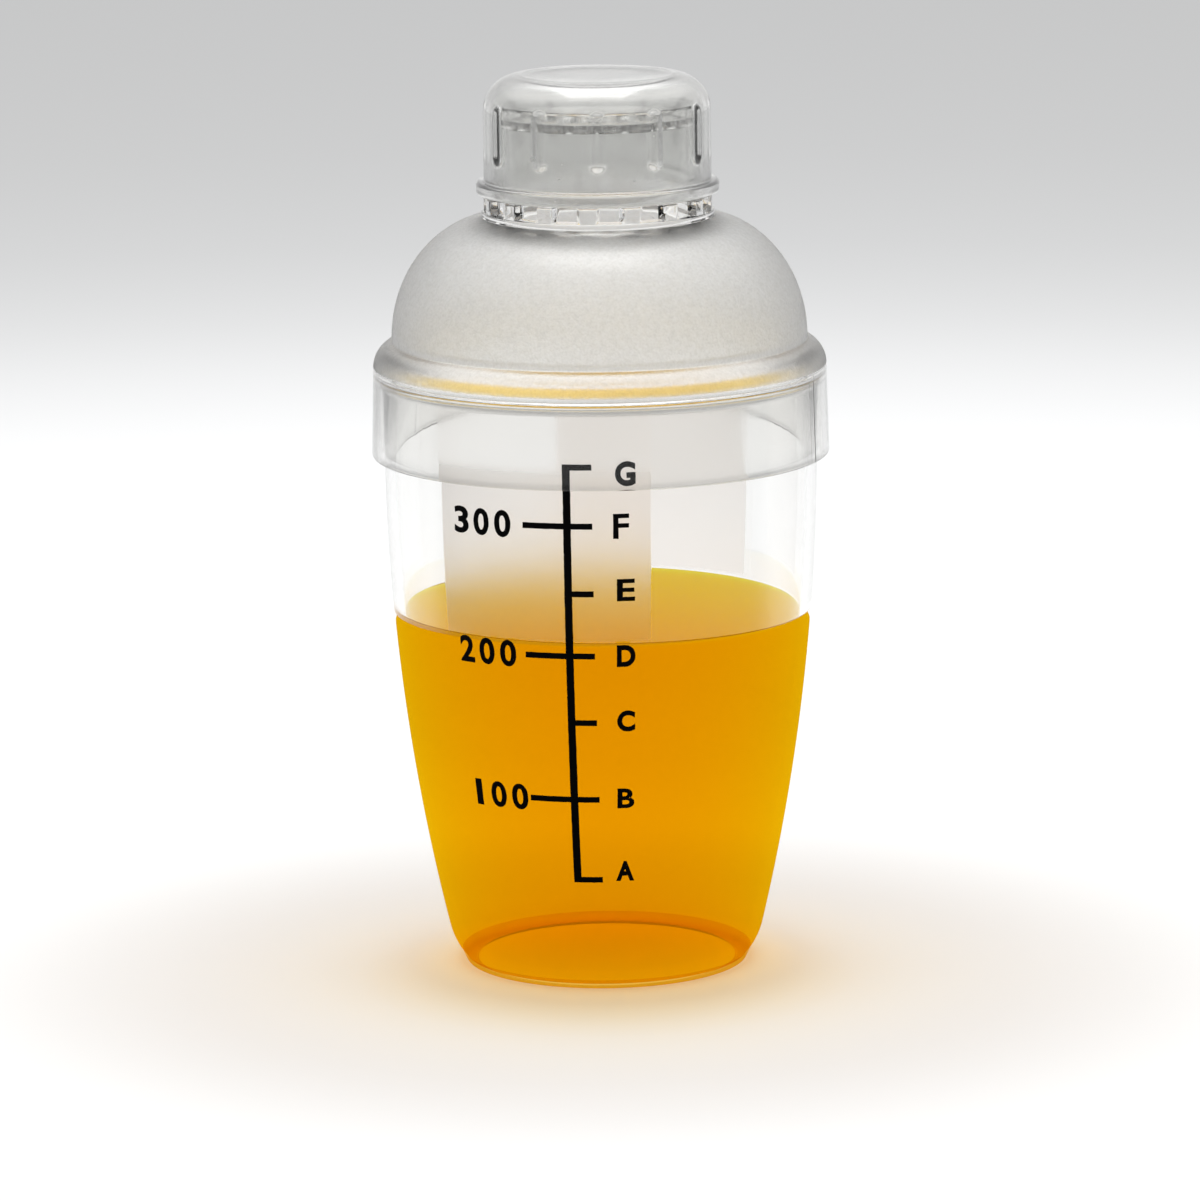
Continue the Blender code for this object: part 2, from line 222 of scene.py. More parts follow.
# The drink's tints at the foot, through its body and at its surface, and what it takes out in a metre. The
# lighter tint at the foot is painted light against the shade under the shaker, and the golden tint at the
# surface is a painted sheen of its lit top.
FOOT_PAINTED_LIGHT_TINT = (0.92, 0.53, 0.004)
BODY_TINT = (0.69, 0.395, 0.003)
SURFACE_PAINTED_SHEEN_TINT = (0.70, 0.56, 0.02)
BODY_LOW = 45 * MM
SURFACE_LOW = DRINK_LEVEL - 0.5 * MM
SURFACE_HIGH = DRINK_LEVEL - 0.2 * MM
TAKEN_PER_METRE = (0.1, 6.0, 60.0)
ABSORPTION_DENSITY = 70.0

# Camera and light.
CAMERA_DISTANCE = 1.261
CAMERA_HEIGHT = 0.3153
CAMERA_PITCH = math.radians(11.1)
CAMERA_ROLL = math.radians(0.7)
CAMERA_OFFSET = -0.5 * MM
CAMERA_LENS = 207.0
CAMERA_SENSOR = 36.0
SOFTBOX_PLACE = (0, 0.15, 1.3)
SOFTBOX_TARGET = (0, 0, 0.1)
SOFTBOX_SIZE = 0.8
SOFTBOX_POWER = 6

# Stage: the floor's tones by distance from a centre on the Y axis, and the light of its pool by distance.
# The tones are painted light: a warm glow and a shade ring round the base, where light through the drink and
# the shaker's shadow fall, and a painted falloff to grey further out. The pool is a painted glow under the
# drink, though the floor is no lamp.
FLOOR_RADIUS = 2.4
FLOOR_CENTRE = -15 * MM
FLOOR_REACH = 2.0
FLOOR_PAINTED_LIGHT_TONES = (
    (0.000, 0.74, 0.64, 0.42),
    (0.026, 0.74, 0.64, 0.42),
    (0.046, 0.79, 0.76, 0.70),
    (0.080, 0.62, 0.595, 0.575),
    (0.125, 0.78, 0.78, 0.775),
    (0.540, 0.75, 0.753, 0.756),
    (0.660, 0.69, 0.693, 0.697),
    (0.800, 0.575, 0.578, 0.581),
    (0.960, 0.51, 0.513, 0.516),
    (1.200, 0.48, 0.482, 0.484),
    (1.660, 0.48, 0.482, 0.484),
)
# Painted glow: the floor gives off this light under and round the drink's foot, standing in for light
# through the drink.
PAINTED_GLOW_REACH = 0.1
PAINTED_GLOW_TONES = (
    (0.000, 0.22, 0.34, 0.3),
    (0.025, 0.22, 0.34, 0.3),
    (0.027, 0.11, 0.10, 0.05),
    (0.038, 0.0, 0.0, 0.0),
)
# Painted dark reflection: in front of the shaker the floor shows this dark tone to glossy rays, so the
# plastic mirrors it dark.
PAINTED_REFLECTION_TONE = 0.06
PAINTED_REFLECTION_FROM = (0.08, -0.04)

# World: how bright the walls in front and behind and the roof are, and where they meet, by direction.
FRONT_TONE = 0.4
BACK_TONE = 0.9
ROOF_TONE = 1.35
BACK_EDGES = (-0.3, 0.5)
ROOF_EDGES = (0.3, 0.75)


def arc(centre, radius, start, end, steps, squash=1.0):
    """Points round an arc in the (radius, height) plane, squashed in height into an ellipse's."""
    angles = [start + (end - start) * step / steps for step in range(steps + 1)]
    return [
        (centre[0] + radius * math.cos(angle), centre[1] + radius * squash * math.sin(angle))
        for angle in angles
    ]


def rounded(before, corner, after, radius, steps=6):
    """The points of a fillet at a corner between two neighbouring points of a profile."""
    here = Vector(corner)
    back = (Vector(before) - here).normalized()
    ahead = (Vector(after) - here).normalized()
    half_angle = back.angle(ahead) / 2
    centre = here + (back + ahead).normalized() * radius / math.sin(half_angle)
    tangent_length = radius / math.tan(half_angle)
    start = here + back * tangent_length - centre
    end = here + ahead * tangent_length - centre
    turn = start.angle_signed(end)
    return [tuple(centre + Matrix.Rotation(-turn * step / steps, 2) @ start) for step in range(steps + 1)]


def straight(start, end, steps):
    """Evenly spaced points from one profile point to another."""
    return [tuple(Vector(start).lerp(Vector(end), step / steps)) for step in range(steps + 1)]


class Profile:
    """A turned outline, built stretch by stretch. Each stretch names the finish of its surface."""

    def __init__(self):
        self.points = []
        self.finishes = []

    def add(self, points, finish=0):
        for point in points:
            if self.points and (Vector(point) - Vector(self.points[-1])).length < 0.002 * MM:
                continue
            self.points.append(tuple(point))
            self.finishes.append(finish)


def azimuths_of(count, extra=()):
    """Evenly spaced azimuths from the front towards +X, with any closer ones that a detail needs."""
    return sorted({round(math.tau * index / count - math.pi, 7) for index in range(count)} | set(extra))


def turned_bmesh(profile, azimuths, reshape=None):
    """Turns a profile about +Z. reshape(radius, height, azimuth) gives the radius where it isn't round."""
    solid = bmesh.new()
    rings = []
    for radius, height in profile.points:
        if radius < 0.001 * MM:
            rings.append([solid.verts.new((0, 0, height))])
            continue
        ring = []
        for azimuth in azimuths:
            here = reshape(radius, height, azimuth) if reshape else radius
            ring.append(solid.verts.new((here * math.sin(azimuth), -here * math.cos(azimuth), height)))
        rings.append(ring)
    for low, high, finish in zip(rings, rings[1:], profile.finishes[1:]):
        for index in range(len(azimuths)):
            after = (index + 1) % len(azimuths)
            corners = [low[index % len(low)], low[after % len(low)]]
            corners += [high[after % len(high)], high[index % len(high)]]
            face = solid.faces.new(list(dict.fromkeys(corners)))
            face.material_index = finish
    return solid, rings


def piece_from(name, solid, *materials):
    """Closes a bmesh into a smooth named object with its materials."""
    bmesh.ops.recalc_face_normals(solid, faces=solid.faces)
    mesh = bpy.data.meshes.new(name)
    solid.to_mesh(mesh)
    solid.free()
    mesh.shade_smooth()
    item = bpy.data.objects.new(name, mesh)
    bpy.context.scene.collection.objects.link(item)
    for material in materials:
        mesh.materials.append(material)
    return item


# Tumbler.


class TumblerSide:
    """The outer side: a long arc, upright at the rim band, and a tighter heel arc tangent to its foot."""

    def __init__(self):
        self.band_foot = RIM_HEIGHT - RIM_BAND_HEIGHT
        self.band_radius = RIM_RADIUS - RIM_BAND_DRAFT
        rise = self.band_foot - HEEL_HEIGHT
        swell = self.band_radius - HEEL_RADIUS
        self.curve = (rise * rise + swell * swell) / (2 * swell)
        self.centre = (self.band_radius - self.curve, self.band_foot)
        self.lean = math.asin(rise / self.curve)
        self.heel_centre = (
            HEEL_RADIUS - HEEL_CURVE * math.cos(self.lean),
            HEEL_HEIGHT + HEEL_CURVE * math.sin(self.lean),
        )
        self.foot_lean = math.asin((self.heel_centre[1] - FOOT_HEIGHT) / HEEL_CURVE)

    def radius(self, height):
        """The outer radius at a height above the foot."""
        if height >= self.band_foot:
            return self.band_radius + RIM_BAND_DRAFT * (height - self.band_foot) / RIM_BAND_HEIGHT
        centre, curve = (self.centre, self.curve)
        if height < HEEL_HEIGHT:
            centre, curve = (self.heel_centre, HEEL_CURVE)
        return centre[0] + math.sqrt(curve * curve - (height - centre[1]) ** 2)

    def outer_points(self):
        heel = arc(self.heel_centre, HEEL_CURVE, -self.foot_lean, -self.lean, 14)
        side = arc(self.centre, self.curve, -self.lean, 0, 60)
        return heel[:-1] + side

    def inner_points(self, low, high, steps):
        """Points up the inside of the wall."""
        heights = [low + (high - low) * step / steps for step in range(steps + 1)]
        return [(self.radius(height) - TUMBLER_WALL, height) for height in heights]


def leaned_height(vert, share):
    """The height of a point once it has taken a share of the drink's lean."""
    return vert.co.z - share * math.tan(DRINK_LEAN) * vert.co.x


def lean_share(vert):
    """1 at the drink's edge, fading to 0 away from it."""
    return max(1 - abs(vert.co.z - DRINK_EDGE) / LEAN_BLEND, 0)


def wall_scale(side, vert, height):
    """How much a point's radius changes as it slides along the inside of the wall to a height."""
    return (side.radius(height) - TUMBLER_WALL) / (side.radius(vert.co.z) - TUMBLER_WALL)


def lean_inner_wall(solid, side):
    """Tilts the rings of the inner wall near the drink's edge, so that the finishes change at its level."""
    for vert in solid.verts:
        radius = math.hypot(vert.co.x, vert.co.y)
        innermost = side.radius(DRINK_EDGE) - 3 * TUMBLER_WALL
        outermost = side.radius(vert.co.z) - TUMBLER_WALL / 2
        if radius < innermost or radius > outermost:
            continue
        height = leaned_height(vert, lean_share(vert))
        scale = wall_scale(side, vert, height)
        vert.co = Vector((vert.co.x * scale, vert.co.y * scale, height))


def make_tumbler(side, *materials):
    """Its finishes change with what is behind them: air, the drink, or the foot's solid ring, which is
    tinted orange as a painted glow of the drink's light in it.
    """
    clear, filled, dry, wet, ring = range(5)
    outer = side.outer_points()
    foot_top = outer[0]
    foot_radius = foot_top[0] - FOOT_TAPER
    wet_wall = side.inner_points(FLOOR_TOP + 2 * FLOOR_FILLET, DRINK_EDGE, 48)
    dry_wall = side.inner_points(DRINK_EDGE, side.band_foot, 30)
    floor_corner = (side.radius(FLOOR_TOP) - TUMBLER_WALL, FLOOR_TOP)
    rim_inner = (RIM_RADIUS - TUMBLER_WALL, RIM_HEIGHT)
    rim_outer = (RIM_RADIUS, RIM_HEIGHT)
    foot_outer = (foot_radius, 0)
    foot_inner = (foot_radius - FOOT_WIDTH, 0)
    recess = (foot_radius - FOOT_WIDTH - FOOT_RECESS, FOOT_RECESS)
    profile = Profile()
    profile.add([(0, FLOOR_TOP), (side.heel_centre[0] * 0.5, FLOOR_TOP)], wet)
    profile.add(rounded((0, FLOOR_TOP), floor_corner, wet_wall[0], FLOOR_FILLET, 16), wet)
    profile.add(wet_wall, wet)
    profile.add(dry_wall, dry)
    profile.add(straight(dry_wall[-1], (rim_inner[0], RIM_HEIGHT - RIM_ROUND), 8), dry)
    profile.add(rounded(dry_wall[-1], rim_inner, rim_outer, RIM_ROUND))
    profile.add(rounded(rim_inner, rim_outer, outer[-1], RIM_ROUND))
    profile.add([point for point in outer[::-1] if point[1] >= DRINK_LEVEL])
    profile.add([(side.radius(DRINK_LEVEL), DRINK_LEVEL)])
    profile.add([point for point in outer[::-1] if point[1] < DRINK_LEVEL], filled)
    profile.add(rounded(foot_top, foot_outer, foot_inner, FOOT_ROUND, 4), ring)
    profile.add(rounded(foot_outer, foot_inner, recess, FOOT_ROUND, 4), ring)
    profile.add(rounded(foot_inner, recess, (0, FOOT_RECESS), RECESS_ROUND, 4), filled)
    profile.add([(0, FOOT_RECESS)], filled)
    solid, _ = turned_bmesh(profile, azimuths_of(TUMBLER_STEPS))
    lean_inner_wall(solid, side)
    tumbler = piece_from("tumbler_shell", solid, *materials)
    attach(tumbler, "tumbler")
    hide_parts("tumbler")


def make_drink(side, liquid):
    """The drink's edge climbs the wall a little, and its surface stays level while the shaker leans."""
    wall = []
    for radius, height in side.inner_points(DRINK_WALL_LOW, DRINK_EDGE, 140):
        fade = min((DRINK_EDGE - height) / OVERLAP_FADE, 1)
        overlap = WALL_OVERLAP + (DEEP_OVERLAP - WALL_OVERLAP) * fade * fade * (3 - 2 * fade)
        wall.append((radius + overlap, height))
    corner = (side.radius(DRINK_BOTTOM) - TUMBLER_WALL + DEEP_OVERLAP, DRINK_BOTTOM)
    edge_radius = wall[-1][0]
    profile = Profile()
    profile.add([(0, DRINK_BOTTOM), (corner[0] * 0.5, DRINK_BOTTOM)])
    profile.add(rounded((0, DRINK_BOTTOM), corner, wall[0], DRINK_ROUND, 8))
    profile.add(wall)
    for step in range(1, MENISCUS_STEPS + 1):
        inset = 6 * MENISCUS_REACH * (step / MENISCUS_STEPS) ** 1.6
        climb = MENISCUS_RISE * math.exp(-inset / MENISCUS_REACH)
        profile.add([(edge_radius - inset, DRINK_LEVEL + climb)])
    profile.add(straight(profile.points[-1], (0, DRINK_LEVEL), SURFACE_STEPS))
    solid, rings = turned_bmesh(profile, azimuths_of(TUMBLER_STEPS))
    surface = {vert for ring in rings[-MENISCUS_STEPS - SURFACE_STEPS:] for vert in ring}
    for vert in solid.verts:
        height = leaned_height(vert, 1 if vert in surface else lean_share(vert))
        if vert not in surface:
            vert.co.xy = vert.co.xy * wall_scale(side, vert, height)
        vert.co.z = height
    drink = piece_from("drink_body", solid, liquid)
    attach(drink, "tumbler")
    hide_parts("drink")


# Strainer lid.


def pulse(offset, half_width, corner):
    """1 inside a half width, 0 outside it, with a smooth corner between."""
    edge = min(max((half_width - abs(offset)) / corner + 0.5, 0), 1)
    return edge * edge * (3 - 2 * edge)


def lid_reshape(radius, height, azimuth):
    """Shapes the lug ring between the collar and the neck, and the parting line down the skirt."""
    lug_top = NECK_BASE + LUG_HEIGHT
    ring = NECK_RADIUS + LUG_ROOT
    if NECK_BASE - 0.01 * MM < height < lug_top + 0.01 * MM and radius > ring:
        pitch = math.tau / LUG_COUNT
        offset = (azimuth - LUG_PHASE + pitch / 2) % pitch - pitch / 2
        lug = pulse(offset * radius, LUG_ANGLE * radius / 2, 2 * LUG_CORNER)
        floor_blend = min(max((height - NECK_BASE) / (0.3 * MM), 0), 1)
        return radius - (radius - ring) * (1 - lug) * floor_blend
    if radius > SKIRT_INNER + SKIRT_WALL / 2 and height < SHOULDER_BASE:
        for seam in (PARTING_AZIMUTH, PARTING_AZIMUTH - math.pi):
            across = (azimuth - seam) * radius / PARTING_WIDTH
            radius -= PARTING_HEIGHT * math.exp(-across * across)
    return radius


def lid_profile():
    """From the strainer's underside out to the skirt, and back up the outside to the strainer's top."""
    clear, frosted, drink_glow_band, skirt = range(4)
    under_strainer = (NECK_INNER, STRAINER_BOTTOM)
    dome_top = DOME_BASE + DOME_HEIGHT - LID_WALL
    neck_root = (NECK_INNER, dome_top)
    spread = DOME_RADIUS - COLLAR_RADIUS - LID_WALL
    inner_dome = arc(
        (COLLAR_RADIUS, DOME_BASE), spread, math.pi / 2, 0, 40, squash=(DOME_HEIGHT - LID_WALL) / spread
    )
    throat = (RIM_RADIUS - TUMBLER_WALL, SHOULDER_BASE + SHOULDER_RISE / 2)
    seat_inner = (RIM_RADIUS - TUMBLER_WALL, SEAT_HEIGHT)
    seat_outer = (SKIRT_INNER, SEAT_HEIGHT)
    foot_inner = (SKIRT_INNER + SKIRT_FLARE, SKIRT_FOOT)
    foot_outer = (SKIRT_FOOT_RADIUS, SKIRT_FOOT)
    skirt_top = (SKIRT_OUTER, SHOULDER_BASE)
    crease_angle = math.acos((SHOULDER_WIDTH - DOME_INSET) / SHOULDER_WIDTH)
    shoulder_centre = (SKIRT_OUTER - SHOULDER_WIDTH, SHOULDER_BASE)
    shoulder_squash = SHOULDER_RISE / SHOULDER_WIDTH
    outer_spread = DOME_RADIUS - NECK_RADIUS
    collar_angle = math.acos((COLLAR_RADIUS - NECK_RADIUS) / outer_spread)
    outer_squash = DOME_HEIGHT / outer_spread
    outer_dome = arc((NECK_RADIUS, DOME_BASE), outer_spread, 0, collar_angle, 60, squash=outer_squash)
    collar_top = (COLLAR_RADIUS, NECK_BASE)
    lug_radius = NECK_RADIUS + LUG_REACH
    lug_low = (lug_radius, NECK_BASE)
    lug_high = (lug_radius, NECK_BASE + LUG_HEIGHT)
    neck_low = (NECK_RADIUS, NECK_BASE + LUG_HEIGHT)
    rim_outer = (NECK_RADIUS - NECK_DRAFT, NECK_TOP)
    rim_inner = (NECK_INNER, NECK_TOP)
    strainer_edge = (NECK_INNER, STRAINER_TOP)

    profile = Profile()
    profile.add(straight(under_strainer, (NECK_INNER, dome_top + 2 * LID_WALL), 8), clear)
    profile.add(rounded(under_strainer, neck_root, inner_dome[0], LID_WALL, 8), clear)
    profile.add(inner_dome, clear)
    profile.add(rounded(inner_dome[-1], throat, seat_inner, THROAT_ROUND, 6), clear)
    # The orange band here is a painted glow of the drink's light.
    profile.add([(throat[0], DRINK_GLOW_HIGH)], clear)
    profile.add([(throat[0], DRINK_GLOW_LOW)], drink_glow_band)
    profile.add(rounded(throat, seat_inner, seat_outer, SEAT_ROUND, 4), clear)
    profile.add(rounded(seat_inner, seat_outer, foot_inner, SEAT_ROUND, 4), drink_glow_band)
    profile.add(straight(profile.points[-1], foot_inner, 12)[:-1], skirt)
    profile.add(rounded(seat_outer, foot_inner, foot_outer, SKIRT_INNER_ROUND, 4), skirt)
    profile.add(rounded(foot_inner, foot_outer, skirt_top, SKIRT_OUTER_ROUND, 6), skirt)
    profile.add(straight(profile.points[-1], skirt_top, 16), skirt)
    profile.add(arc(shoulder_centre, SHOULDER_WIDTH, 0, FROST_START, 3, squash=shoulder_squash), skirt)
    shoulder = arc(shoulder_centre, SHOULDER_WIDTH, FROST_START, crease_angle, 24, squash=shoulder_squash)
    crease = (DOME_RADIUS, DOME_BASE - 0.2 * MM)
    profile.add(shoulder[:-3], frosted)
    profile.add(rounded(shoulder[-4], shoulder[-1], crease, CREASE_ROUND, 5), frosted)
    profile.add(outer_dome[:-1], frosted)
    profile.add(rounded(outer_dome[-2], outer_dome[-1], collar_top, 0.15 * MM, 3), frosted)
    profile.add(rounded(outer_dome[-1], collar_top, lug_low, 0.2 * MM, 4), clear)
    profile.add([lug_low], clear)
    profile.add([(lug_radius, NECK_BASE + 0.3 * MM), (lug_radius, NECK_BASE + 1.4 * MM)], clear)
    profile.add(rounded(lug_low, lug_high, neck_low, 0.35 * MM, 5), clear)
    profile.add(rounded(lug_high, neck_low, rim_outer, 0.2 * MM, 3), clear)
    profile.add(straight(profile.points[-1], rim_outer, 20)[:-1], clear)
    profile.add(rounded(neck_low, rim_outer, rim_inner, NECK_RIM_ROUND, 5), clear)
    profile.add(rounded(rim_outer, rim_inner, strainer_edge, NECK_RIM_ROUND, 5), clear)
    profile.add([strainer_edge], clear)
    return profile


def ring_edges(solid, ring):
    return [solid.edges.get((a, b)) or solid.edges.new((a, b)) for a, b in zip(ring, ring[1:] + ring[:1])]


def fill_strainer(solid, low_ring, high_ring):
    """Closes the neck with a plate pierced by rings of holes, six more in each ring."""
    rings = int((NECK_INNER - HOLE_MARGIN - HOLE_RADIUS) / HOLE_PITCH)
    places = [Vector((0, 0, 0))]
    for ring in range(1, rings + 1):
        for index in range(6 * ring):
            angle = math.tau * index / (6 * ring) + math.pi / (6 * ring)
            places.append(ring * HOLE_PITCH * Vector((math.cos(angle), math.sin(angle), 0)))
    levels = (
        (STRAINER_BOTTOM, HOLE_RADIUS + HOLE_CHAMFER),
        (STRAINER_BOTTOM + HOLE_CHAMFER, HOLE_RADIUS),
        (STRAINER_TOP - HOLE_CHAMFER, HOLE_RADIUS),
        (STRAINER_TOP, HOLE_RADIUS + HOLE_CHAMFER),
    )
    sides = 24
    low_edges = ring_edges(solid, low_ring)
    high_edges = ring_edges(solid, high_ring)
    for place in places:
        circles = []
        for height, radius in levels:
            corners = [math.tau * side / sides for side in range(sides)]
            points = [place + Vector((radius * math.cos(a), radius * math.sin(a), height)) for a in corners]
            circles.append([solid.verts.new(point) for point in points])
        for low, high in zip(circles, circles[1:]):
            for side in range(sides):
                after = (side + 1) % sides
                solid.faces.new((low[side], low[after], high[after], high[side]))
        low_edges += ring_edges(solid, circles[0])
        high_edges += ring_edges(solid, circles[-1])
    for edges in (low_edges, high_edges):
        bmesh.ops.triangle_fill(solid, use_beauty=True, use_dissolve=False, edges=edges)


def make_strainer_lid(*materials):
    near_seam = [seam + math.radians(0.08) * step for step in range(-6, 7) if step
                 for seam in (PARTING_AZIMUTH, PARTING_AZIMUTH - math.pi)]
    solid, rings = turned_bmesh(lid_profile(), azimuths_of(LID_STEPS, near_seam), lid_reshape)
    fill_strainer(solid, rings[0], rings[-1])
    lid = piece_from("strainer_lid_shell", solid, *materials)
    lid.data.set_sharp_from_angle(angle=math.radians(60))
    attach(lid, "lid")
    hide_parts("strainer_lid")


# Cap.


def cap_reshape(radius, height, azimuth):
    """Scoops the grip flutes out of the cap's outer side, as an upright rod with round ends would."""
    if radius < CAP_INNER + CAP_WALL / 2 and height < CAP_TOP - CAP_SHOULDER_HEIGHT:
        return radius
    low_centre = FLUTE_LOW + FLUTE_RADIUS
    high_centre = FLUTE_HIGH - FLUTE_RADIUS
    beyond = max(low_centre - height, height - high_centre, 0)
    if beyond >= FLUTE_RADIUS or radius < CAP_OUTER - CAP_SHOULDER_WIDTH / 2:
        return radius
    pitch = math.tau / FLUTE_COUNT
    offset = (azimuth + pitch / 2) % pitch - pitch / 2
    across = offset * CAP_OUTER
    reach = FLUTE_RADIUS * FLUTE_RADIUS - beyond * beyond - across * across
    if reach <= 0:
        return radius
    scooped = CAP_OUTER + FLUTE_RADIUS - FLUTE_DEPTH - math.sqrt(reach)
    mix = min(max(0.5 + (radius - scooped) / (2 * FLUTE_SOFTNESS), 0), 1)
    return radius + (scooped - radius) * mix - FLUTE_SOFTNESS * mix * (1 - mix)


def make_cap(cloudy, cloudy_inside):
    inner_top = CAP_TOP - CAP_WALL
    shoulder_base = CAP_TOP - CAP_SHOULDER_HEIGHT
    shoulder_centre = (CAP_OUTER - CAP_SHOULDER_WIDTH, shoulder_base)
    inner_width = CAP_SHOULDER_WIDTH - CAP_WALL
    inner_squash = (CAP_SHOULDER_HEIGHT - CAP_WALL) / inner_width
    squash = (CAP_SHOULDER_HEIGHT - CAP_RIDGE) / CAP_SHOULDER_WIDTH
    flange_top = CAP_BOTTOM + FLANGE_HEIGHT
    mouth = (CAP_INNER, CAP_BOTTOM)
    low_edge = (FLANGE_RADIUS, CAP_BOTTOM)
    high_edge = (FLANGE_RADIUS, flange_top)
    wall_foot = (CAP_OUTER, flange_top)
    wall_top = (CAP_OUTER, shoulder_base)
    disc_radius = shoulder_centre[0]
    profile = Profile()
    profile.add([(0, inner_top), (disc_radius * 0.6, inner_top)], 1)
    profile.add(arc(shoulder_centre, inner_width, math.pi / 2, 0, 16, squash=inner_squash), 1)
    profile.add(straight((CAP_INNER, shoulder_base), (CAP_INNER, CAP_BOTTOM + FLANGE_EDGE), 12), 1)
    profile.add(rounded((CAP_INNER, shoulder_base), mouth, low_edge, MOUTH_ROUND, 4))
    profile.add(rounded(mouth, low_edge, high_edge, FLANGE_EDGE, 6))
    profile.add(rounded(low_edge, high_edge, wall_foot, FLANGE_EDGE, 6))
    profile.add(rounded(high_edge, wall_foot, wall_top, FLANGE_ROOT, 4))
    profile.add(straight(profile.points[-1], wall_top, 40))
    profile.add(arc(shoulder_centre, CAP_SHOULDER_WIDTH, 0, math.pi / 2, 36, squash=squash))
    ridge = [(disc_radius - 0.5 * MM, CAP_TOP), (disc_radius - 1.0 * MM, CAP_TOP - 0.5 * CAP_RIDGE)]
    profile.add(ridge + [(disc_radius - CAP_RIDGE_WIDTH, CAP_TOP - CAP_RIDGE)])
    profile.add([(disc_radius * 0.5, CAP_TOP - CAP_RIDGE), (0, CAP_TOP - CAP_RIDGE)])
    solid, _ = turned_bmesh(profile, azimuths_of(CAP_STEPS), cap_reshape)
    cap = piece_from("cap_shell", solid, cloudy, cloudy_inside)
    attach(cap, "cap")
    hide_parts("cap")


# Printed scale.


def glyph_faces(character, width, height, boldness):
    """A character as flat faces centred on the origin, scaled to a width and a height."""
    curve = bpy.data.curves.new("glyph", "FONT")
    curve.body = character
    curve.offset = boldness
    curve.resolution_u = 6
    holder = bpy.data.objects.new("glyph", curve)
    bpy.context.scene.collection.objects.link(holder)
    flat = bmesh.new()
    evaluated = holder.evaluated_get(bpy.context.evaluated_depsgraph_get())
    flat.from_mesh(evaluated.to_mesh())
    bpy.data.objects.remove(holder, do_unlink=True)
    bpy.data.curves.remove(curve)
    low = Vector([min(vert.co[axis] for vert in flat.verts) for axis in range(2)])
    high = Vector([max(vert.co[axis] for vert in flat.verts) for axis in range(2)])
    for vert in flat.verts:
        vert.co.x = (vert.co.x - (low.x + high.x) / 2) * width / (high.x - low.x)
        vert.co.y = (vert.co.y - (low.y + high.y) / 2) * height / (high.y - low.y)
        vert.co.z = 0
    bmesh.ops.remove_doubles(flat, verts=flat.verts, dist=0.005 * MM)
    return flat


def bar_faces(low, high):
    """A flat bar between two corners."""
    flat = bmesh.new()
    corners = ((low[0], low[1]), (high[0], low[1]), (high[0], high[1]), (low[0], high[1]))
    flat.faces.new([flat.verts.new((x, y, 0)) for x, y in corners])
    return flat


def slice_flat(flat, pitch):
    """Cuts flat faces into a fine net, so that they can wrap round the tumbler and take a rough edge."""
    for axis in range(2):
        low = min(vert.co[axis] for vert in flat.verts)
        high = max(vert.co[axis] for vert in flat.verts)
        normal = [0.0, 0.0, 0.0]
        normal[axis] = 1.0
        for index in range(1, int((high - low) / pitch) + 1):
            point = [0.0, 0.0, 0.0]
            point[axis] = low + index * pitch
            parts = list(flat.verts) + list(flat.edges) + list(flat.faces)
            bmesh.ops.bisect_plane(flat, geom=parts, dist=0.0005 * MM, plane_co=point, plane_no=normal)


def wrap(flat, side, azimuth, height, roughness):
    """Wraps flat ink round the tumbler at an azimuth and a height, and gives it its thickness."""
    grain = 1.3 / MM
    for vert in flat.verts:
        place = Vector((vert.co.x + azimuth, vert.co.y + height, 0)) * grain
        shift = noise.noise_vector(place) + 0.5 * noise.noise_vector(place * 2.7)
        vert.co.x += shift.x * roughness
        vert.co.y += shift.y * roughness
    skin = bmesh.ops.extrude_face_region(flat, geom=list(flat.faces), use_keep_orig=True)["geom"]
    raised = {item for item in skin if isinstance(item, bmesh.types.BMVert)}
    for vert in flat.verts:
        here = height + vert.co.y
        lift = INK_LIFT + (INK_THICKNESS if vert in raised else 0)
        radius = side.radius(here) + lift
        turn = azimuth + vert.co.x / side.radius(here)
        vert.co = Vector((radius * math.sin(turn), -radius * math.cos(turn), here))


def join_ink(name, parts, ink):
    whole = bmesh.new()
    for part in parts:
        mesh = bpy.data.meshes.new("part")
        part.to_mesh(mesh)
        part.free()
        whole.from_mesh(mesh)
        bpy.data.meshes.remove(mesh)
    item = piece_from(name, whole, ink)
    item.data.set_sharp_from_angle(angle=math.radians(40))
    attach(item, "tumbler")


